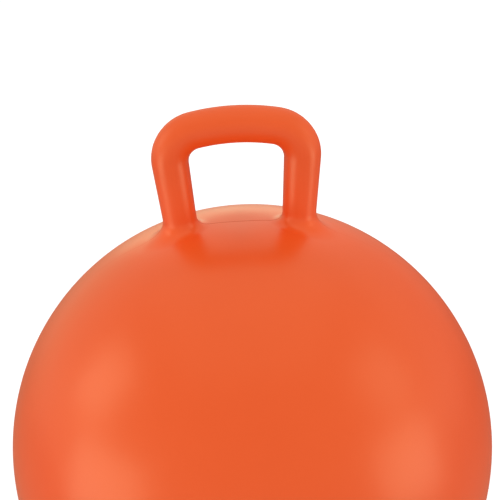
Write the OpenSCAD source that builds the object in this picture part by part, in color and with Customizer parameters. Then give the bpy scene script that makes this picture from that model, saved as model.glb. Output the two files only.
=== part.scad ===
// Hopper ball: an air-filled ball moulded in one with a hollow carrying handle.
// Origin: middle of the flat that the ball stands on. +Z is up.
// The handle stands in the XZ plane, and the valve is in the middle of the +Y side.

/* [Ball] */
// Outer diameter of the inflated ball
ball_d = 450; // [350:5:650]
// Wall of the ball
ball_wall = 1.2; // [0.8:0.1:3]
// Diameter of the patch that the ball flattens under its own weight
rest_d = 60; // [30:2:100]

/* [Handle] */
// Distance between the legs' centre lines where they leave the ball
leg_spacing = 104; // [90:1:130]
// Outward lean of each leg, in degrees
leg_lean = 5; // [0:0.5:9]
// Diameter of a leg where it leaves the ball
leg_base_d = 29.2; // [24:0.2:32]
// Diameter of the grip, and of each leg where it runs into the bend
grip_d = 32.2; // [28:0.2:36]
// How far the bends stand proud of the grip and the legs, all round
bend_swell = 0.3; // [0.1:0.1:0.8]
// Height of the grip's centre line above the top of the ball
grip_rise = 88; // [70:1:110]
// Radius of the bend between a leg and the grip, on its centre line
bend_r = 27.5; // [22:0.5:34]
// Radius of the grip's upward bow, on its centre line
bow_r = 182; // [120:2:260]
// Wall of the handle
handle_wall = 2; // [1.2:0.1:4]

/* [Feet of the handle] */
// Radius of the flare between a leg and the ball
flare_r = 11; // [6:0.5:15]

/* [Valve] */
// Diameter of the hole in the ball that the valve seat fills
seat_neck_d = 26; // [22:0.5:32]
// Diameter of the seat's bonding flange, inside the ball
seat_flange_d = 38; // [34:1:50]
// Thickness of the bonding flange
seat_flange_t = 1.6; // [1:0.1:3]
// Diameter of the seat's barrel
seat_barrel_d = 16; // [14:0.5:20]
// Length of the seat along its axis, from the ball's surface
seat_len = 17; // [12:0.5:24]
// Bore of the seat
seat_bore_d = 9; // [7:0.1:10]
// Diameter of the plug's head
head_d = 16; // [14:0.5:18]
// Thickness of the plug's head
head_t = 1.6; // [1.2:0.1:2.4]
// How far the head lies below the ball's surface
head_sink = 0.3; // [0.1:0.1:1]
// Length of the plug's stem, under the head
stem_len = 19; // [14:0.5:26]
// Length of the tapered lead-in at the stem's tip
tip_len = 3; // [1:0.5:5]
// Diameter of the lead-in at its end
tip_d = 6.4; // [4:0.2:8]
// Wall of the hollow stem
stem_wall = 1.4; // [1:0.1:2]
// Number of sealing ribs on the stem
rib_count = 3; // [1:1:4]
// Width of a sealing rib
rib_w = 1.2; // [0.8:0.1:1.6]
// How far a rib stands out of the stem
rib_rise = 0.3; // [0.2:0.05:0.5]
// Diameter of the notch at the head's edge, for a fingernail or a lever
notch_d = 6; // [4:0.5:8]

/* [Clearances] */
// Radial clearance between the sealing ribs and the bore
rib_gap = 0.05; // [0.02:0.01:0.1]
// Radial clearance round the plug's head
head_gap = 0.4; // [0.2:0.1:0.8]

/* [Hidden] */
$fn = 128;
// How far a cutting shape runs past what it cuts
overrun = 1;
// How far a leg and the grip run into the thicker bends
lap = 1;
// How far the flare's thin edge is drawn under the ball's surface, so that it ends at a clean edge
flare_sink = 0.6;
skin_colour = [0.93, 0.40, 0.21];
seat_colour = [0.88, 0.37, 0.19];
plug_colour = [0.95, 0.94, 0.91];

ball_r = ball_d / 2;
inner_r = ball_r - ball_wall;
// The rest patch is a flat cut of the sphere, so the ball's centre stands a little under its radius.
centre_z = sqrt(ball_r * ball_r - rest_d * rest_d / 4);

// The handle's centre line, as points [x, z] counted from the ball's centre.
leg_r = leg_base_d / 2;
grip_r = grip_d / 2;
bend_tube_r = grip_r + bend_swell;
foot = [leg_spacing / 2, sqrt(ball_r * ball_r - leg_spacing * leg_spacing / 4)];
leg_dir = [sin(leg_lean), cos(leg_lean)];
leg_in = [-cos(leg_lean), sin(leg_lean)];
bow_centre = [0, ball_r + grip_rise - bow_r];
// The bend touches the leg's line and, from inside, the bow: this gives the leg's length.
bend_start = foot + bend_r * leg_in - bow_centre;
along = bend_start * leg_dir;
leg_len = sqrt(along * along - bend_start * bend_start + pow(bow_r - bend_r, 2)) - along;
bend_centre = foot + leg_len * leg_dir + bend_r * leg_in;
bow_end = atan2(bend_centre[1] - bow_centre[1], bend_centre[0] - bow_centre[0]);
bow_lap = asin(lap / bow_r);

// The flare stands square on the ball's surface, and its top is centred on the leg.
flare_base_r = leg_r + flare_r;
flare_top = foot + flare_r * leg_dir;
flare_lean = atan2(flare_top[0], flare_top[1]);
flare_root = sqrt(ball_r * ball_r - flare_base_r * flare_base_r);

// The valve, along its own axis: 0 is the ball's centre, ball_r its surface.
head_face = ball_r - head_sink;
recess_floor = head_face - head_t;
rib_r = seat_bore_d / 2 - rib_gap;
stem_r = rib_r - rib_rise;
rib_pitch = (stem_len - tip_len) / (rib_count + 1);
notch_at = head_d / 2 + head_gap;

// Everything below is drawn about the ball's centre and lifted onto the floor.
module about_centre() {
    translate([0, 0, centre_z])
        children();
}

// Turns a shape drawn up the Z axis to point out of the +Y side.
module out_of_side() {
    rotate([-90, 0, 0])
        children();
}

// Part of a ring in the XZ plane about a point [x, z], from one angle to another.
module arc_tube(centre, arc_r, tube_r, from, to) {
    translate([centre[0], 0, centre[1]])
        rotate([90, 0, 0])
            rotate([0, 0, from])
                rotate_extrude(angle = to - from)
                    translate([arc_r, 0])
                        circle(r = tube_r);
}

// One leg's straight, from as far below its foot as asked up to the bend.
module leg(thinner, below) {
    taper = (grip_r - leg_r) / leg_len;
    foot_r = leg_r - thinner - taper * below;
    translate([foot[0], 0, foot[1]])
        rotate([0, leg_lean, 0])
            translate([0, 0, -below])
                cylinder(h = leg_len + below + lap, r1 = foot_r, r2 = grip_r - thinner);
}

// The handle's whole tube, thinner all round by a given amount.
module loop_tube(thinner, below) {
    for (side = [0, 1])
        mirror([side, 0, 0]) {
            leg(thinner, below);
            arc_tube(bend_centre, bend_r, bend_tube_r - thinner, -leg_lean, bow_end);
        }
    arc_tube(bow_centre, bow_r, grip_r - thinner, bow_end - bow_lap, 180 - bow_end + bow_lap);
}

// The flare: a collar with a hollow round side, from the ball's surface up to the leg.
module flare() {
    rotate([0, flare_lean, 0])
        translate([0, 0, flare_root - flare_sink])
            rotate_extrude()
                difference() {
                    square([flare_base_r, flare_r]);
                    translate([flare_base_r, flare_r])
                        circle(r = flare_r);
                }
}

module ball_shell() {
    color(skin_colour)
        about_centre()
            difference() {
                sphere(r = ball_r);
                intersection() {
                    sphere(r = inner_r);
                    translate([0, 0, ball_d / 2 - centre_z + ball_wall])
                        cube(ball_d, center = true);
                }
                translate([0, 0, -centre_z - ball_d / 2])
                    cube(ball_d, center = true);
                for (side = [0, 1])
                    mirror([side, 0, 0])
                        translate([foot[0], 0, foot[1]])
                            rotate([0, leg_lean, 0])
                                cylinder(h = 2 * flare_r, r = leg_r - handle_wall, center = true);
                out_of_side()
                    cylinder(h = ball_r + overrun, d = seat_neck_d);
            }
}

module handle() {
    color(skin_colour)
        about_centre()
            difference() {
                union() {
                    loop_tube(0, flare_r);
                    for (side = [0, 1])
                        mirror([side, 0, 0])
                            flare();
                }
                loop_tube(handle_wall, flare_r + overrun);
                sphere(r = ball_r);
            }
}

module valve_seat() {
    color(seat_colour)
        about_centre()
            difference() {
                intersection() {
                    sphere(r = ball_r);
                    union() {
                        out_of_side()
                            translate([0, 0, ball_r - seat_len])
                                cylinder(h = seat_len, d = seat_barrel_d);
                        out_of_side()
                            translate([0, 0, inner_r - seat_flange_t])
                                cylinder(h = ball_wall + seat_flange_t, d = seat_neck_d);
                        difference() {
                            intersection() {
                                sphere(r = inner_r);
                                out_of_side()
                                    cylinder(h = ball_r, d = seat_flange_d);
                            }
                            sphere(r = inner_r - seat_flange_t);
                        }
                    }
                }
                out_of_side()
                    translate([0, 0, ball_r - seat_len - overrun])
                        cylinder(h = seat_len + 2 * overrun, d = seat_bore_d);
                out_of_side()
                    translate([0, 0, recess_floor])
                        cylinder(h = head_t + head_sink + overrun, d = head_d + 2 * head_gap);
                out_of_side()
                    translate([notch_at, 0, recess_floor])
                        cylinder(h = head_t + head_sink + overrun, d = notch_d);
            }
}

module valve_plug() {
    color(plug_colour)
        about_centre()
            out_of_side()
                translate([0, 0, recess_floor])
                    difference() {
                        union() {
                            cylinder(h = head_t, d = head_d);
                            translate([0, 0, -stem_len + tip_len])
                                cylinder(h = stem_len - tip_len, r = stem_r);
                            translate([0, 0, -stem_len])
                                cylinder(h = tip_len, r1 = tip_d / 2, r2 = stem_r);
                            for (i = [1 : rib_count])
                                translate([0, 0, -i * rib_pitch])
                                    cylinder(h = rib_w, r = rib_r, center = true);
                        }
                        translate([0, 0, -stem_len - overrun])
                            cylinder(h = stem_len + overrun, r = tip_d / 2 - stem_wall);
                    }
}

ball_shell();
handle();
valve_seat();
valve_plug();
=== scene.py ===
# Hopper ball: the looks of one moulded ball and handle, with its air valve.
# Metres, +Z up. The handle stands in the XZ plane, and the valve is on the +Y side.
from math import atan2, cos, exp, pi, radians, sin, sqrt, tan

import bmesh
import bpy
from mathutils import Matrix, Vector


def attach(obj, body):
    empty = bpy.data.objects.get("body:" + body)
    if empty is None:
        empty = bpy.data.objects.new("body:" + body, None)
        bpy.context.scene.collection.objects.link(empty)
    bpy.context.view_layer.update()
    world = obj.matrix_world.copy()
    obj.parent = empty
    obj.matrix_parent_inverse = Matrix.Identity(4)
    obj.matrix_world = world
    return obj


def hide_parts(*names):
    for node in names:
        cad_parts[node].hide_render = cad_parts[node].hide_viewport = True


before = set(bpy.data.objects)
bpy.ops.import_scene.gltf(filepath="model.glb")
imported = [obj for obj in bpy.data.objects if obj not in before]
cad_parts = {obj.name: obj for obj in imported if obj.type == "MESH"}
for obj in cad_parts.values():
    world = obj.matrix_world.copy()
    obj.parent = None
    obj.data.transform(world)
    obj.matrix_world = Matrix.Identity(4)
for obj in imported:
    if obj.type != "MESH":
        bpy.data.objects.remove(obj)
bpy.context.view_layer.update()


def linear(hexCode):
    # From an sRGB hex value to the linear colour that Blender works in.
    shares = [int(hexCode[i:i + 2], 16) / 255 for i in (1, 3, 5)]
    return tuple(s / 12.92 if s <= 0.04045 else ((s + 0.055) / 1.055) ** 2.4 for s in shares) + (1.0,)


def addNode(tree, kind, inputs=(), **settings):
    # Inputs are values, or the sockets to link from.
    node = tree.nodes.new(kind)
    for name, value in settings.items():
        setattr(node, name, value)
    for socket, value in dict(inputs).items():
        if isinstance(value, bpy.types.NodeSocket):
            tree.links.new(value, node.inputs[socket])
        else:
            node.inputs[socket].default_value = value
    return node


def newMaterial(name):
    material = bpy.data.materials.new(name)
    material.use_nodes = True
    material.node_tree.nodes.clear()
    return material, material.node_tree


def finishMaterial(tree, shader):
    addNode(tree, "ShaderNodeOutputMaterial", {"Surface": shader.outputs["BSDF"]})


# Sizes of the moulding: those of the CAD part, and those of what only the scene shows.
ball = {
    "radius": 0.225,
    "wall": 0.0012,
    "restPatch": 0.060,       # across the flat that the ball stands on
    "contactBlend": 0.0010,   # how softly the skin leaves the floor
    "dentDepth": 0.0012,      # the skin is a little flat between the legs
    "dentSpread": 0.018,
    "dentHeight": 0.006,      # how far up the feet it still pulls on them
    "lip": 0.0003,            # round the hole for the valve seat
    "lipDrop": 0.00008,       # two thirds of the way in
    "lastDepth": 0.9,         # share of the wall at which the neck's last ring lies
    "cells": 96,              # faces along each side of the cube that the skin is blown up from
    "innerCells": 32,         # the same for its inner face
    # Blocks cut out of the cube, whose sides run from -1 to 1.
    "footBlock": (0.125, 0.625, 0.25),        # from and to along X, and half of its width
    "valveBlock": 0.125,                      # half of its width
}
handle = {
    "legSpacing": 0.104,
    "legLean": radians(5),
    "legBase": 0.0292,        # diameters
    "grip": 0.0322,
    "bendSwell": 0.0003,
    "gripRise": 0.088,
    "bendRadius": 0.0275,
    "bowRadius": 0.182,
    "wall": 0.0020,
    "flareOut": (0.01825, 0.0085, 0.00325),   # reach along the ball: mean, outward share, sideways share
    "flareUp": (0.0120, 0.0030, 0.0),         # reach up the leg, the same way
    "meetsBetween": (-0.02, 0.03),            # heights on the leg, round where it meets the ball
    "evenFrom": 0.026,        # height on the leg from which its rings are level
    "footRings": 3,           # rings of faces along each part
    "flareRings": 4,
    "evenRings": 2,
    "legRings": 4,
    "bendRings": 7,
    "bowRings": 5,
}
seam = {
    "halfWidth": 0.0007,
    "height": 0.00013,        # between the feet and on the handle
    "trimmed": 0.00005,       # farther out, where the flash is trimmed closer
    "fullTo": 0.070,          # counted from the middle along X
    "trimmedFrom": 0.115,
}
centreHeight = sqrt(ball["radius"] ** 2 - (ball["restPatch"] / 2) ** 2)


# The handle's centre line in its own plane, as (x, z) from the ball's centre.
lean = handle["legLean"]
footX = handle["legSpacing"] / 2
foot = Vector((footX, sqrt(ball["radius"] ** 2 - footX ** 2)))
legUp = Vector((sin(lean), cos(lean)))
legOut = Vector((cos(lean), -sin(lean)))
bowCentre = Vector((0, ball["radius"] + handle["gripRise"] - handle["bowRadius"]))
toBend = foot - handle["bendRadius"] * legOut - bowCentre
along = toBend.dot(legUp)
bendGap = handle["bowRadius"] - handle["bendRadius"]
legLength = sqrt(along ** 2 - toBend.length_squared + bendGap ** 2) - along
bendCentre = foot + legLength * legUp - handle["bendRadius"] * legOut
bowEnd = atan2(bendCentre.y - bowCentre.y, bendCentre.x - bowCentre.x)


def tubePoint(centre, outward, radius, turn):
    x, z = centre + radius * cos(turn) * outward
    return Vector((x, radius * sin(turn), z))


def legPoint(height, turn, thinner):
    share = height / legLength
    radius = (handle["legBase"] * (1 - share) + handle["grip"] * share) / 2 - thinner
    return tubePoint(foot + height * legUp, legOut, radius, turn)


def reach(shares, turn):
    # How far a flare reaches, at a turn round the leg that is counted from its outer side.
    mean, outward, sideways = shares
    return mean + outward * cos(turn) + sideways * cos(2 * turn)


def lastInside(low, high, inside, halvings=40):
    # Halves a range down to the value at which a test stops being true.
    for _ in range(halvings):
        middle = (low + high) / 2
        if inside(middle):
            low = middle
        else:
            high = middle
    return low


def flarePoints(turn, ballRadius, thinner):
    # Where this line of the leg meets the ball, and the ends of the flare on the ball and on the leg.
    low, high = handle["meetsBetween"]
    meets = lastInside(low, high, lambda h: legPoint(h, turn, thinner).length < ballRadius, halvings=30)
    corner = legPoint(meets, turn, thinner)
    x, z = foot + meets * legUp
    away = corner - Vector((x, 0, z))
    away = (away - away.project(corner)).normalized()
    arc = reach(handle["flareOut"], turn) / ballRadius
    onBall = corner * cos(arc) + away * ballRadius * sin(arc)
    topHeight = meets + reach(handle["flareUp"], turn)
    return onBall, corner, topHeight


def growRing(bm, ring, place):
    # Extrudes a closed ring of vertices once, and puts vertex i of the new ring at place(i).
    edges = [bm.edges.get((ring[i - 1], ring[i])) for i in range(len(ring))]
    made = bmesh.ops.extrude_edge_only(bm, edges=edges)["geom"]
    fresh = {v for v in made if isinstance(v, bmesh.types.BMVert)}
    newRing = []
    for i, v in enumerate(ring):
        twin = next(e.other_vert(v) for e in v.link_edges if e.other_vert(v) in fresh)
        twin.co = place(i)
        newRing.append(twin)
    return newRing


def cutBlock(bm, inside, onEdge, turnOf):
    # Takes out a block of faces and gives back the vertices round the hole, by their turn.
    bmesh.ops.delete(bm, geom=[f for f in bm.faces if inside(f.calc_center_median())], context="FACES")
    rim = [v for v in bm.verts if onEdge(v)]
    return sorted(rim, key=turnOf)


def holdHandle(bm, ring, ballRadius, thinner, finer):
    # The flare, the leg, the bend and half of the grip, ring by ring from the hole in the ball.
    count = len(ring)
    turns = [2 * pi * i / count for i in range(count)]
    flares = [flarePoints(t, ballRadius, thinner) for t in turns]
    rim = [v.co.copy() for v in ring]
    footRings = handle["footRings"]
    for k in range(1, footRings + 1):
        share = k / footRings
        ring = growRing(bm, ring, lambda i: rim[i].lerp(flares[i][0], share).normalized() * ballRadius)
    flareRings = handle["flareRings"] * finer
    for k in range(1, flareRings + 1):
        t = k / flareRings
        def onFlare(i):
            onBall, corner, topHeight = flares[i]
            onLeg = legPoint(topHeight, turns[i], thinner)
            return onBall * (1 - t) ** 2 + corner * 2 * t * (1 - t) + onLeg * t ** 2
        ring = growRing(bm, ring, onFlare)
    evenFrom = handle["evenFrom"]
    evenRings = handle["evenRings"] * finer
    for k in range(1, evenRings + 1):
        share = k / evenRings
        ring = growRing(bm, ring, lambda i: legPoint(
            flares[i][2] * (1 - share) + evenFrom * share, turns[i], thinner))
    legRings = handle["legRings"] * finer
    for k in range(1, legRings + 1):
        height = evenFrom + (legLength - evenFrom) * k / legRings
        ring = growRing(bm, ring, lambda i: legPoint(height, turns[i], thinner))
    bendRings = handle["bendRings"] * finer
    for k in range(1, bendRings + 1):
        share = k / bendRings
        angle = -lean + (bowEnd + lean) * share
        outward = Vector((cos(angle), sin(angle)))
        radius = handle["grip"] / 2 + handle["bendSwell"] * sin(pi * share) - thinner
        centre = bendCentre + handle["bendRadius"] * outward
        ring = growRing(bm, ring, lambda i: tubePoint(centre, outward, radius, turns[i]))
    bowRings = handle["bowRings"] * finer
    for k in range(1, bowRings + 1):
        angle = bowEnd + (pi / 2 - bowEnd) * k / bowRings
        outward = Vector((cos(angle), sin(angle)))
        centre = bowCentre + handle["bowRadius"] * outward
        radius = handle["grip"] / 2 - thinner
        ring = growRing(bm, ring, lambda i: tubePoint(centre, outward, radius, turns[i]))
    for v in ring:       # the middle of the grip, where the two halves meet
        v.co.x = 0


def mouldSurface(cells, ballInset, tubeInset, finer):
    # One face of the skin, outer or inner, about the ball's centre. Half a cube is blown up to a ball, its
    # handle grows from a block cut out of its top, it is mirrored, and the valve's hole is cut.
    radius = ball["radius"] - ballInset
    low, high, side = ball["footBlock"]
    near = 0.4 / cells        # a fifth of a face
    bm = bmesh.new()
    bmesh.ops.create_cube(bm, size=2)
    bmesh.ops.subdivide_edges(bm, edges=bm.edges[:], cuts=cells - 1, use_grid_fill=True)
    bmesh.ops.delete(bm, geom=[f for f in bm.faces if f.calc_center_median().x < 0], context="FACES")
    def inFoot(c):
        return c.z > 1 - near and low < c.x < high and abs(c.y) < side
    def roundFoot(v):
        c = v.co
        if c.z < 1 - near or not (low - near < c.x < high + near and abs(c.y) < side + near):
            return False
        return min(abs(c.x - low), abs(c.x - high), abs(abs(c.y) - side)) < near
    middle = (low + high) / 2
    ring = cutBlock(bm, inFoot, roundFoot, lambda v: atan2(v.co.y, v.co.x - middle) % (2 * pi))
    for v in bm.verts:        # equal angles for all cells
        v.co = Vector([tan(c * pi / 4) for c in v.co]).normalized() * radius
    holdHandle(bm, ring, radius, tubeInset, finer)
    half = bm.verts[:] + bm.edges[:] + bm.faces[:]
    bmesh.ops.mirror(bm, geom=half, matrix=Matrix(), merge_dist=1e-6, axis="X")
    bmesh.ops.recalc_face_normals(bm, faces=bm.faces[:])     # the mirrored half is inside out
    span = tan(ball["valveBlock"] * pi / 4)
    def inHole(c):
        return c.y > 0 and abs(c.x) < span * c.y and abs(c.z) < span * c.y
    def roundHole(v):
        c = v.co
        return c.y > 0 and v.is_boundary and max(abs(c.x), abs(c.z)) < (span + near) * c.y
    hole = cutBlock(bm, inHole, roundHole, lambda v: atan2(v.co.z, v.co.x) % (2 * pi))
    return bm, hole


def holeCircle(count, holeRadius, out):
    # Places round the valve's axis, a given distance out from the ball's centre.
    places = []
    for i in range(count):
        turn = 2 * pi * i / count
        places.append(Vector((holeRadius * cos(turn), out, holeRadius * sin(turn))))
    return places


def addSeam(bm):
    # The mould's parting line: a fine ridge in the handle's plane, over the ball and the handle.
    line = [e for e in bm.edges if all(abs(v.co.y) < 1e-7 for v in e.verts)]
    bmesh.ops.bevel(
        bm, geom=line, offset=seam["halfWidth"], offset_type="OFFSET", segments=4, profile=0.5,
        affect="EDGES", material=-1, clamp_overlap=False)
    bm.normal_update()
    for v in [v for v in bm.verts if abs(v.co.y) < 1e-6]:
        share = (abs(v.co.x) - seam["fullTo"]) / (seam["trimmedFrom"] - seam["fullTo"])
        if v.co.z < 0:
            share = 1
        share = min(max(share, 0), 1)
        v.co += v.normal * (seam["height"] * (1 - share) + seam["trimmed"] * share)


def settle(v, inset):
    # The flat under the ball and the slack skin between the legs, still about the ball's centre.
    c = v.co
    overTop = (c.length - ball["radius"]) / ball["dentHeight"]
    if c.z > 0 and overTop < 4:      # farther up the slack is nothing
        fade = (c.x ** 2 + c.y ** 2) / (2 * ball["dentSpread"] ** 2)
        c -= c.normalized() * ball["dentDepth"] * exp(-fade - overTop ** 2)
    floorUp = c.z + centreHeight - inset
    blend = ball["contactBlend"]
    c.z = max(floorUp, 0) + max(blend - abs(floorUp), 0) ** 2 / (4 * blend) - centreHeight + inset


def finishPiece(bm, name, body, node, material):
    for f in bm.faces:
        f.smooth = True
    mesh = bpy.data.meshes.new(name)
    bm.to_mesh(mesh)
    bm.free()
    piece = bpy.data.objects.new(name, mesh)
    bpy.context.scene.collection.objects.link(piece)
    mesh.materials.append(material)
    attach(piece, body)
    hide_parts(*node)
    triangles = sum(len(p.vertices) - 2 for p in mesh.polygons)
    print("made", name, "with", triangles, "triangles")


def makeSkin(material):
    outer, outerHole = mouldSurface(ball["cells"], ballInset=0, tubeInset=0, finer=3)
    count = len(outerHole)
    neck = seat["neck"] / 2
    lip = ball["lip"]
    rimFrom = [v.co.copy() for v in outerHole]
    circle = holeCircle(count, neck + lip, sqrt(ball["radius"] ** 2 - (neck + lip) ** 2))
    ring = outerHole
    for share in (0.5, 1):
        ring = growRing(outer, ring, lambda i: (
            rimFrom[i].lerp(circle[i], share).normalized() * ball["radius"]))
    drop = neck ** 2 / (2 * ball["radius"])      # of the ball's surface, from the valve's axis to the neck
    last = ball["wall"] * ball["lastDepth"]
    for across, depth in ((neck + lip / 3, ball["lipDrop"]), (neck, lip), (neck, last)):
        circle = holeCircle(count, across, ball["radius"] - depth - drop)
        ring = growRing(outer, ring, lambda i: circle[i])
    addSeam(outer)
    for v in outer.verts:
        settle(v, 0)
    print("skin's outer face made")

    inner, innerHole = mouldSurface(
        ball["innerCells"], ballInset=ball["wall"], tubeInset=handle["wall"], finer=1)
    count = len(innerHole)
    innerRadius = ball["radius"] - ball["wall"]
    circle = holeCircle(count, neck, sqrt(innerRadius ** 2 - neck ** 2))
    growRing(inner, innerHole, lambda i: circle[i])
    for v in inner.verts:
        settle(v, ball["wall"])
    print("skin's inner face made")

    scratch = bpy.data.meshes.new("innerScratch")
    inner.to_mesh(scratch)
    inner.free()
    outer.from_mesh(scratch)
    bpy.data.meshes.remove(scratch)
    rims = [e for e in outer.edges if e.is_boundary]
    bmesh.ops.bridge_loops(outer, edges=rims)
    bmesh.ops.recalc_face_normals(outer, faces=outer.faces[:])
    bmesh.ops.translate(outer, verts=outer.verts[:], vec=(0, 0, centreHeight))
    print("open edges left in the skin:", sum(1 for e in outer.edges if not e.is_manifold))
    finishPiece(outer, "mouldedBallAndHandle", "ball", ("ball_shell", "handle"), material)


seat = {
    "neck": 0.026,            # this and the next four are diameters
    "flange": 0.038,
    "barrel": 0.016,
    "bore": 0.009,
    "notch": 0.006,           # for a finger
    "notchBlend": 0.0012,
    "notchTurn": radians(31),       # half of the part of the outline that its points are spread over
    "notchSides": 40,
    "sides": 96,
    "length": 0.017,
    "flangeThick": 0.0016,
    "bondGap": 0.00005,       # where it is bonded to the skin
    "headGap": 0.0004,        # round the plug's head
    "lip": 0.00035,
    "softEdge": 0.0002,
    "rootFillet": 0.001,
}


def onSphere(across, radius):
    return sqrt(radius ** 2 - across ** 2)


def roundCorner(centre, radius, start, end, steps=4):
    # Points (across, out) of a small arc about a centre, from one angle to another, in degrees.
    turns = [radians(start + (end - start) * k / steps) for k in range(steps + 1)]
    return [(centre[0] + radius * cos(t), centre[1] + radius * sin(t)) for t in turns]


def recessOutline():
    # The recess from outside: a circle for the plug's head, blended with a round notch on its +X side.
    circle = plug["head"] / 2 + seat["headGap"]
    notch = seat["notch"] / 2
    blend = seat["notchBlend"]
    wide = seat["notchTurn"]
    notchTurns = [wide * (2 * k / seat["notchSides"] - 1) for k in range(seat["notchSides"] + 1)]
    restCount = seat["sides"] - len(notchTurns)
    restTurns = [wide + (2 * pi - 2 * wide) * k / (restCount + 1) for k in range(1, restCount + 1)]

    def depthInside(across, turn):
        toCircle = across - circle
        toNotch = sqrt(across ** 2 + circle ** 2 - 2 * across * circle * cos(turn)) - notch
        soft = max(blend - abs(toCircle - toNotch), 0) / blend
        return min(toCircle, toNotch) - soft ** 2 * blend / 4

    outline = []
    for turn in notchTurns + restTurns:
        across = lastInside(circle / 2, circle + 2 * notch, lambda a: depthInside(a, turn) < 0)
        outline.append((turn, across))
    return outline


def makeSeat(material):
    outside = ball["radius"]
    inside = outside - ball["wall"] - seat["bondGap"]
    under = outside - ball["wall"] - seat["flangeThick"]
    edge = seat["neck"] / 2
    bore = seat["bore"] / 2
    barrel = seat["barrel"] / 2
    rim = seat["flange"] / 2
    end = outside - seat["length"]
    floorOut = outside - plug["headSink"] - plug["headThick"]
    soft = seat["softEdge"]
    lip = seat["lip"]
    outline = recessOutline()
    count = len(outline)
    flat = [Vector((r * cos(t), r * sin(t))) for t, r in outline]
    square = []
    for i in range(count):
        step = flat[(i + 1) % count] - flat[i - 1]
        square.append(Vector((step.y, -step.x)).normalized())

    def circlePlace(across, out):
        return [Vector((across * cos(t), out, across * sin(t))) for t, _ in outline]

    def outlinePlace(aside, out):
        places = [flat[i] + aside * square[i] for i in range(count)]
        return [Vector((p.x, out, p.y)) for p in places]

    # Rings from the flange's outer face up the neck, in over the recess, down the bore and back outside.
    stations = [circlePlace(edge, onSphere(edge, inside))]
    for across, out in roundCorner((edge - soft, onSphere(edge, outside) - soft), soft, 0, 80):
        stations.append(circlePlace(across, out))
    faceRim = circlePlace(edge - soft, 0)
    lipOut = outlinePlace(lip, 0)
    for share in (0.25, 0.5, 0.75, 1):
        ring = [a.lerp(b, share) for a, b in zip(faceRim, lipOut)]
        stations.append([Vector((p.x, onSphere(p.length, outside), p.z)) for p in ring])
    for aside, out in roundCorner((lip, -lip), lip, 100, 180):
        ring = outlinePlace(aside, 0)
        lipTop = [onSphere(Vector((p.x, p.z)).length, outside) for p in lipOut]
        stations.append([Vector((p.x, top + out, p.z)) for p, top in zip(ring, lipTop)])
    for aside, out in roundCorner((-soft, floorOut + soft), soft, 0, -90):
        stations.append(outlinePlace(aside, out))
    stations.append(circlePlace(bore + lip, floorOut))
    for across, out in roundCorner((bore + lip, floorOut - lip), lip, 100, 180):
        stations.append(circlePlace(across, out))
    for across, out in roundCorner((bore + soft, end + soft), soft, 180, 270):
        stations.append(circlePlace(across, out))
    for across, out in roundCorner((barrel - lip, end + lip), lip, 270, 360):
        stations.append(circlePlace(across, out))
    root = seat["rootFillet"]
    for across, out in roundCorner((barrel + root, onSphere(barrel + root, under) - root), root, 180, 90):
        stations.append(circlePlace(across, out))
    middle = (barrel + root + rim) / 2
    stations.append(circlePlace(middle, onSphere(middle, under)))
    thick = seat["flangeThick"] / 2 - seat["bondGap"]
    for across, out in roundCorner((rim - thick, onSphere(rim, under) + thick), thick, -90, 90, 6):
        stations.append(circlePlace(across, out))

    bm = bmesh.new()
    ring = bmesh.ops.create_circle(bm, segments=count, radius=edge)["verts"]
    for v, place in zip(ring, stations[0]):
        v.co = place
    for places in stations[1:]:
        ring = growRing(bm, ring, lambda i: places[i])
    bmesh.ops.bridge_loops(bm, edges=[e for e in bm.edges if e.is_boundary])
    bmesh.ops.recalc_face_normals(bm, faces=bm.faces[:])
    bmesh.ops.translate(bm, verts=bm.verts[:], vec=(0, 0, centreHeight))
    print("open edges left in the seat:", sum(1 for e in bm.edges if not e.is_manifold))
    finishPiece(bm, "valveSeatInsert", "ball", ("valve_seat",), material)


plug = {
    "head": 0.016,            # this and the next two are diameters
    "tipEnd": 0.0064,
    "gate": 0.0018,           # mark of the moulding gate, in the middle of the head
    "headThick": 0.0016,
    "headSink": 0.0003,       # below the ball's surface
    "headEdge": 0.0004,
    "dish": 0.0004,           # its depth, and the radii between which it ends
    "dishFrom": 0.0043,
    "dishTo": 0.0058,
    "dishSteps": 6,
    "gateRise": 0.00012,
    "stem": 0.019,            # its length
    "stemWall": 0.0014,
    "tip": 0.003,
    "ribs": 3,
    "ribWidth": 0.0012,
    "ribRise": 0.0003,
    "ribGap": 0.00005,        # to the bore
    "ribRound": 0.6,          # the lower, the flatter its top
    "ribSteps": 8,
    "softEdge": 0.0002,
    "sides": 96,
}


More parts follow.
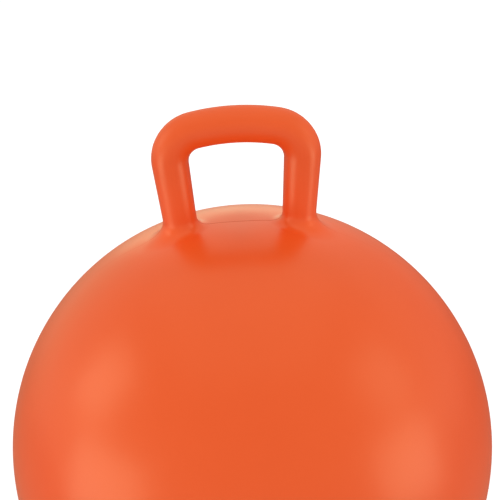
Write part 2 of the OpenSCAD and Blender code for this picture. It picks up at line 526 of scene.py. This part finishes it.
def makePlug(material):
    top = ball["radius"] - plug["headSink"]
    under = top - plug["headThick"]
    head = plug["head"] / 2
    ribTop = seat["bore"] / 2 - plug["ribGap"]
    stem = ribTop - plug["ribRise"]
    tipEnd = plug["tipEnd"] / 2
    hollow = tipEnd - plug["stemWall"]
    end = under - plug["stem"]
    soft = plug["softEdge"]
    edge = plug["headEdge"]
    dish = top - plug["dish"]
    gate = plug["gate"] / 2
    gateTop = dish + plug["gateRise"]
    # From the mark in the middle of the head over its edge, down the ribbed stem and up inside it.
    profile = [(gate / 2, gateTop), (gate * 0.9, gateTop), (gate, gateTop - soft / 4), (gate * 1.1, dish)]
    for k in range(plug["dishSteps"] + 1):
        share = k / plug["dishSteps"]
        across = plug["dishFrom"] + (plug["dishTo"] - plug["dishFrom"]) * share
        profile.append((across, dish + (top - dish) * (1 - cos(pi * share)) / 2))
    profile += roundCorner((head - edge, top - edge), edge, 90, 0, 6)
    profile += roundCorner((head - soft, under + soft), soft, 0, -90)
    profile += roundCorner((stem + soft, under - soft), soft, 90, 180)
    pitch = (plug["stem"] - plug["tip"]) / (plug["ribs"] + 1)
    for n in range(1, plug["ribs"] + 1):
        middle = under - n * pitch
        for k in range(plug["ribSteps"] + 1):
            share = k / plug["ribSteps"]
            out = middle + plug["ribWidth"] * (0.5 - share)
            profile.append((stem + plug["ribRise"] * sin(pi * share) ** plug["ribRound"], out))
    profile.append((stem, end + plug["tip"]))
    profile += roundCorner((tipEnd - soft, end + soft), soft, 0, -90)
    profile += roundCorner((hollow + soft, end + soft), soft, 270, 180)
    profile += roundCorner((hollow - soft, under - soft), soft, 0, 90)

    count = plug["sides"]
    turns = [2 * pi * i / count for i in range(count)]
    bm = bmesh.new()
    first, firstOut = profile[0]
    made = bmesh.ops.create_circle(bm, cap_ends=True, cap_tris=True, segments=count, radius=first)
    ring = [v for v in made["verts"] if v.co.length > first / 2]
    centre = next(v for v in bm.verts if v.co.length < first / 2)
    centre.co = (0, gateTop, 0)
    for v, turn in zip(ring, turns):
        v.co = (first * cos(turn), firstOut, first * sin(turn))
    for across, out in profile[1:]:
        ring = growRing(bm, ring, lambda i: Vector((across * cos(turns[i]), out, across * sin(turns[i]))))
    bmesh.ops.holes_fill(bm, edges=[e for e in bm.edges if e.is_boundary], sides=0)
    bmesh.ops.recalc_face_normals(bm, faces=bm.faces[:])
    bmesh.ops.translate(bm, verts=bm.verts[:], vec=(0, 0, centreHeight))
    print("open edges left in the plug:", sum(1 for e in bm.edges if not e.is_manifold))
    finishPiece(bm, "valveStopper", "plug", ("valve_plug",), material)


def softPvc():
    # Soft PVC, rotationally moulded: even satin orange with a faint orange peel, with painted glow round
    # the feet, where a lighter, fuller orange lifts the shade, duller on the grip, with a red-brown hair
    # line at the mould's joint.
    look = {
        "skin": "#DC4B18",
        "fresh": "#E04F1D",
        "thick": "#E85220",       # painted glow at a foot: a lighter orange that lifts the shade there
        "glowFullTo": 0.016,         # distances from the middle of a foot, between which the painted glow fades out
        "glowGoneFrom": 0.072,
        "gloss": "#EDF3D4",
        "ior": 1.53,
        "roughLow": 0.285,
        "roughHigh": 0.335,
        "mottleSize": 0.0625,
        "mottleLow": 0.3,         # values of the mottle at which the roughness is low and high
        "mottleHigh": 0.7,
        "gripRough": 0.42,
        "gripFrom": 0.505,        # heights between which the grip grows duller
        "gripTo": 0.530,
        "peelSize": 0.0024,
        "peelHeight": 0.00003,
        "grainSize": 0.0004,
        "grainHeight": 0.000006,
        "line": "#C0340D",
        "lineRough": 0.75,
        "lineHalf": 0.00035,      # half of its width, and of its soft edge's
        "lineSoft": 0.00030,
        "lineFull": 0.055,        # distances along X, between which it fades
        "lineFaint": 0.085,
        "faint": 0.12,
    }
    material, tree = newMaterial("rotomouldedSoftPvc")
    place = addNode(tree, "ShaderNodeTexCoord").outputs["Object"]
    mottle = addNode(tree, "ShaderNodeTexNoise", {
        "Vector": place, "Scale": 1 / look["mottleSize"], "Detail": 4.0, "Roughness": 0.55})
    colour = addNode(tree, "ShaderNodeMix", {
        "Factor": mottle.outputs["Fac"], "A": linear(look["skin"]), "B": linear(look["fresh"])},
        data_type="RGBA")
    parts = addNode(tree, "ShaderNodeSeparateXYZ", {"Vector": place})
    aside = addNode(tree, "ShaderNodeMath", {0: parts.outputs["Y"]}, operation="ABSOLUTE")
    line = addNode(tree, "ShaderNodeMapRange", {
        "Value": aside.outputs[0], "From Min": look["lineHalf"] - look["lineSoft"],
        "From Max": look["lineHalf"] + look["lineSoft"], "To Min": 1.0, "To Max": 0.0},
        interpolation_type="SMOOTHSTEP")
    outward = addNode(tree, "ShaderNodeMath", {0: parts.outputs["X"]}, operation="ABSOLUTE")
    halved = addNode(tree, "ShaderNodeCombineXYZ", {
        "X": outward.outputs[0], "Y": parts.outputs["Y"], "Z": parts.outputs["Z"]})
    fromFoot = addNode(tree, "ShaderNodeVectorMath", {
        0: halved.outputs["Vector"], 1: (footX, 0, centreHeight + foot.y)}, operation="DISTANCE")
    # Painted glow round the feet: the skin is painted a lighter orange near each foot, lifting the shade
    # between the legs and the ball.
    thick = addNode(tree, "ShaderNodeMapRange", {
        "Value": fromFoot.outputs["Value"], "From Min": look["glowFullTo"], "From Max": look["glowGoneFrom"],
        "To Min": 1.0, "To Max": 0.0}, interpolation_type="SMOOTHSTEP")
    feetGlowPainted = addNode(tree, "ShaderNodeMix", {
        "Factor": thick.outputs["Result"], "A": colour.outputs["Result"], "B": linear(look["thick"])},
        data_type="RGBA")
    fading = addNode(tree, "ShaderNodeMapRange", {
        "Value": outward.outputs[0], "From Min": look["lineFull"], "From Max": look["lineFaint"],
        "To Min": 1.0, "To Max": look["faint"]}, interpolation_type="SMOOTHSTEP")
    strength = addNode(tree, "ShaderNodeMath", {
        0: line.outputs["Result"], 1: fading.outputs["Result"]}, operation="MULTIPLY")
    lined = addNode(tree, "ShaderNodeMix", {
        "Factor": strength.outputs[0], "A": feetGlowPainted.outputs["Result"], "B": linear(look["line"])},
        data_type="RGBA")
    rough = addNode(tree, "ShaderNodeMapRange", {
        "Value": mottle.outputs["Fac"], "From Min": look["mottleLow"], "From Max": look["mottleHigh"],
        "To Min": look["roughLow"], "To Max": look["roughHigh"]})
    grip = addNode(tree, "ShaderNodeMapRange", {
        "Value": parts.outputs["Z"], "From Min": look["gripFrom"], "From Max": look["gripTo"]},
        interpolation_type="SMOOTHSTEP")
    handled = addNode(tree, "ShaderNodeMix", {
        "Factor": grip.outputs["Result"], "A": rough.outputs["Result"], "B": look["gripRough"]})
    dull = addNode(tree, "ShaderNodeMix", {
        "Factor": strength.outputs[0], "A": handled.outputs["Result"], "B": look["lineRough"]})
    peel = addNode(tree, "ShaderNodeTexNoise", {
        "Vector": place, "Scale": 1 / look["peelSize"], "Detail": 2.0})
    grain = addNode(tree, "ShaderNodeTexNoise", {
        "Vector": place, "Scale": 1 / look["grainSize"], "Detail": 2.0})
    peelBump = addNode(tree, "ShaderNodeBump", {
        "Height": peel.outputs["Fac"], "Distance": look["peelHeight"], "Strength": 1.0})
    grainBump = addNode(tree, "ShaderNodeBump", {
        "Height": grain.outputs["Fac"], "Distance": look["grainHeight"], "Strength": 1.0,
        "Normal": peelBump.outputs["Normal"]})
    shader = addNode(tree, "ShaderNodeBsdfPrincipled", {
        "Base Color": lined.outputs["Result"], "Roughness": dull.outputs["Result"], "IOR": look["ior"],
        "Specular Tint": linear(look["gloss"]), "Normal": grainBump.outputs["Normal"]})
    finishMaterial(tree, shader)
    return material


def mattPvc():
    # Soft PVC, injection moulded: the seat's darker, duller orange with a fine spark-eroded grain.
    look = {
        "deep": "#C8400F",
        "pale": "#D44A16",
        "gloss": "#EDF3D4",
        "ior": 1.53,
        "rough": 0.52,
        "flowSize": 0.011,
        "grainSize": 0.0007,
        "grainHeight": 0.00004,
    }
    material, tree = newMaterial("mouldedSoftPvcMatt")
    place = addNode(tree, "ShaderNodeTexCoord").outputs["Object"]
    flow = addNode(tree, "ShaderNodeTexNoise", {
        "Vector": place, "Scale": 1 / look["flowSize"], "Detail": 3.0})
    colour = addNode(tree, "ShaderNodeMix", {
        "Factor": flow.outputs["Fac"], "A": linear(look["deep"]), "B": linear(look["pale"])},
        data_type="RGBA")
    grain = addNode(tree, "ShaderNodeTexNoise", {
        "Vector": place, "Scale": 1 / look["grainSize"], "Detail": 2.0})
    bump = addNode(tree, "ShaderNodeBump", {
        "Height": grain.outputs["Fac"], "Distance": look["grainHeight"], "Strength": 1.0})
    shader = addNode(tree, "ShaderNodeBsdfPrincipled", {
        "Base Color": colour.outputs["Result"], "Roughness": look["rough"], "IOR": look["ior"],
        "Specular Tint": linear(look["gloss"]), "Normal": bump.outputs["Normal"]})
    finishMaterial(tree, shader)
    return material


def waxyPolyethylene():
    # Low density polyethylene, injection moulded: milky white, waxy, with light that sinks in a little.
    look = {
        "milk": "#E4E3DE",
        "shade": "#D9D7CE",
        "ior": 1.51,
        "rough": 0.36,
        "sink": 0.25,
        "sinkDepth": 0.0015,
        "cloudSize": 0.007,
        "waveSize": 0.0014,
        "waveHeight": 0.00001,
    }
    material, tree = newMaterial("mouldedPolyethylene")
    place = addNode(tree, "ShaderNodeTexCoord").outputs["Object"]
    cloud = addNode(tree, "ShaderNodeTexNoise", {
        "Vector": place, "Scale": 1 / look["cloudSize"], "Detail": 3.0})
    colour = addNode(tree, "ShaderNodeMix", {
        "Factor": cloud.outputs["Fac"], "A": linear(look["milk"]), "B": linear(look["shade"])},
        data_type="RGBA")
    wave = addNode(tree, "ShaderNodeTexNoise", {
        "Vector": place, "Scale": 1 / look["waveSize"], "Detail": 2.0})
    bump = addNode(tree, "ShaderNodeBump", {
        "Height": wave.outputs["Fac"], "Distance": look["waveHeight"], "Strength": 1.0})
    shader = addNode(tree, "ShaderNodeBsdfPrincipled", {
        "Base Color": colour.outputs["Result"], "Roughness": look["rough"], "IOR": look["ior"],
        "Subsurface Weight": look["sink"], "Subsurface Scale": look["sinkDepth"],
        "Normal": bump.outputs["Normal"]})
    finishMaterial(tree, shader)
    return material


def placeCamera():
    # Worked out from the ball's outline in the photograph, in its 500 by 500 pixels.
    shot = {
        "side": 500,
        "ballAt": (252.3, 438.9),     # column and row of the ball's centre
        "lensPixels": 1158.5,
        "distance": 5 * ball["radius"],
        "elevation": radians(31.7),
        "roll": radians(3.3),
        "yaw": radians(0.3),          # of the handle
        "sensor": 36,                 # in millimetres
    }
    middle = shot["side"] / 2
    column, row = shot["ballAt"]
    toBall = Vector((column - middle, middle - row, -shot["lensPixels"])).normalized()
    back = -toBall
    up = Vector((0, 1, 0))
    up = (up - up.project(back)).normalized()
    right = up.cross(back)
    rolledUp = cos(shot["roll"]) * up - sin(shot["roll"]) * right
    rolledRight = cos(shot["roll"]) * right + sin(shot["roll"]) * up
    axisZ = cos(shot["elevation"]) * rolledUp + sin(shot["elevation"]) * back
    axisY = sin(shot["elevation"]) * rolledUp - cos(shot["elevation"]) * back
    axisX = cos(shot["yaw"]) * rolledRight + sin(shot["yaw"]) * axisY
    axisY = cos(shot["yaw"]) * axisY - sin(shot["yaw"]) * rolledRight
    turn = Matrix((axisX, axisY, axisZ))       # from the camera's directions to the object's
    data = bpy.data.cameras.new("camera")
    data.sensor_width = shot["sensor"]
    data.lens = shot["lensPixels"] / shot["side"] * data.sensor_width
    camera = bpy.data.objects.new("camera", data)
    camera.matrix_world = Matrix.Translation(
        turn @ (-toBall * shot["distance"]) + Vector((0, 0, centreHeight))) @ turn.to_4x4()
    bpy.context.scene.collection.objects.link(camera)
    bpy.context.scene.camera = camera
    print("camera placed")


def makeFloor():
    # A white sheet, balanced to the warm light, and lit a little from below as on a light table.
    look = {
        "paper": "#DEE3FE",
        "rough": 0.9,
        "shine": 0.1,
        "glow": 0.36,
        "half": 20,               # half of its width
    }
    material, tree = newMaterial("paleStudioFloor")
    shader = addNode(tree, "ShaderNodeBsdfPrincipled", {
        "Base Color": linear(look["paper"]), "Roughness": look["rough"],
        "Specular IOR Level": look["shine"],
        "Emission Color": linear("#FFFFFF"), "Emission Strength": look["glow"]})
    finishMaterial(tree, shader)
    bm = bmesh.new()
    bmesh.ops.create_grid(bm, x_segments=1, y_segments=1, size=look["half"])
    mesh = bpy.data.meshes.new("floor")
    bm.to_mesh(mesh)
    bm.free()
    floor = bpy.data.objects.new("floor", mesh)
    floor.visible_glossy = False     # below the horizon the ball mirrors the studio's dimmer lower half
    mesh.materials.append(material)
    bpy.context.scene.collection.objects.link(floor)
    print("floor laid")


studio = {
    "warm": "#FFF9DF",
    "sky": 0.98,
    "lower": 0.35,
    "horizon": (-0.25, 0.02),     # heights of a direction, between which the lower half turns to sky
    "cards": ((143, "#EDB59C"), (212, "#CEE2BF")),     # azimuths and colours
    "cardHeight": -0.1,
    "cardSpread": (0.8, 0.98),    # how near to a card's middle it starts, and is full: 1 is the middle
    "boxGap": 0.03,               # between a box's two parts; a ray would see only one in the same place
    # Azimuth, height, distance from the Z axis, width and height, radiance, fill and colour in the gloss.
    "boxes": {
        "highLeft": (-86, 1.05, 1.5, (0.65, 0.75), 2.1, 0.4, "#FFF9DF"),
        "highRight": (76, 1.1, 1.5, (0.7, 0.7), 1.1, 0.4, "#FFF9DF"),
        "lowLeft": (-62, 0.24, 0.95, (0.6, 0.46), 2.15, 0.4, "#FFF9DF"),
        "lowRight": (64, 0.24, 0.95, (0.48, 0.46), 1.9, 0.4, "#FFF9DF"),
        "behind": (186, 0.65, 2.0, (1.2, 0.6), 0.8, 1, "#E2FFCB"),
        "above": (180, 2.9, 0.01, (3.4, 3.4), 0.3, 1, "#FFF9DF"),
    },
}


def softBox(name, azimuth, middle, distance, size, radiance, fill, gloss):
    # A soft box that faces the ball. Azimuth 0 is the camera's side and 90 is on the right.
    # Its radiance is what a mirror would show of it, next to the sky's 1, and gloss is the colour of that.
    # Its fill is the share of it that lights matt surfaces.
    away = Vector((sin(radians(azimuth)), -cos(radians(azimuth)), 0))
    aim = Vector((0, 0, centreHeight))
    place = away * distance + Vector((0, 0, middle))
    back = (place - aim).normalized()
    turn = back.to_track_quat("Z", "Y").to_matrix().to_4x4()
    for part, strength, colour, behind in (
            ("Sheen", radiance, gloss, 0), ("Fill", radiance * fill, studio["warm"], studio["boxGap"])):
        data = bpy.data.lights.new(name + part, "AREA")
        data.shape = "RECTANGLE"
        data.size, data.size_y = size
        data.energy = strength * pi * size[0] * size[1]
        data.color = linear(colour)[:3]
        light = bpy.data.objects.new(name + part, data)
        light.matrix_world = Matrix.Translation(place + back * behind) @ turn
        light.visible_camera = False
        light.visible_diffuse = part == "Fill"
        light.visible_glossy = part == "Sheen"
        bpy.context.scene.collection.objects.link(light)


def makeLights():
    world = bpy.data.worlds.new("studio")
    world.use_nodes = True
    tree = world.node_tree
    tree.nodes.clear()
    direction = addNode(tree, "ShaderNodeTexCoord").outputs["Generated"]
    parts = addNode(tree, "ShaderNodeSeparateXYZ", {"Vector": direction})
    level = addNode(tree, "ShaderNodeMapRange", {
        "Value": parts.outputs["Z"], "From Min": studio["horizon"][0], "From Max": studio["horizon"][1],
        "To Min": studio["lower"], "To Max": studio["sky"]})
    colour = linear(studio["warm"])
    # Two soft cards behind the ball, which its rims mirror: reddish on the right, greenish on the left.
    for azimuth, card in studio["cards"]:
        towards = (sin(radians(azimuth)), -cos(radians(azimuth)), studio["cardHeight"])
        share = addNode(tree, "ShaderNodeVectorMath", {0: direction, 1: towards}, operation="DOT_PRODUCT")
        near = addNode(tree, "ShaderNodeMapRange", {
            "Value": share.outputs["Value"],
            "From Min": studio["cardSpread"][0], "From Max": studio["cardSpread"][1]})
        mixed = addNode(tree, "ShaderNodeMix", {
            "Factor": near.outputs["Result"], "A": colour, "B": linear(card)}, data_type="RGBA")
        colour = mixed.outputs["Result"]
    sky = addNode(tree, "ShaderNodeBackground", {"Color": colour, "Strength": level.outputs["Result"]})
    white = addNode(tree, "ShaderNodeBackground", {"Color": linear("#FFFFFF"), "Strength": 1.0})
    seen = addNode(tree, "ShaderNodeLightPath").outputs["Is Camera Ray"]
    both = addNode(tree, "ShaderNodeMixShader", {
        0: seen, 1: sky.outputs["Background"], 2: white.outputs["Background"]})
    addNode(tree, "ShaderNodeOutputWorld", {"Surface": both.outputs["Shader"]})
    bpy.context.scene.world = world
    bpy.context.scene.view_settings.view_transform = "Standard"
    for name, values in studio["boxes"].items():
        softBox(name, *values)
    print("lights placed")


placeCamera()
makeFloor()
makeLights()
makeSkin(softPvc())
makeSeat(mattPvc())
makePlug(waxyPolyethylene())
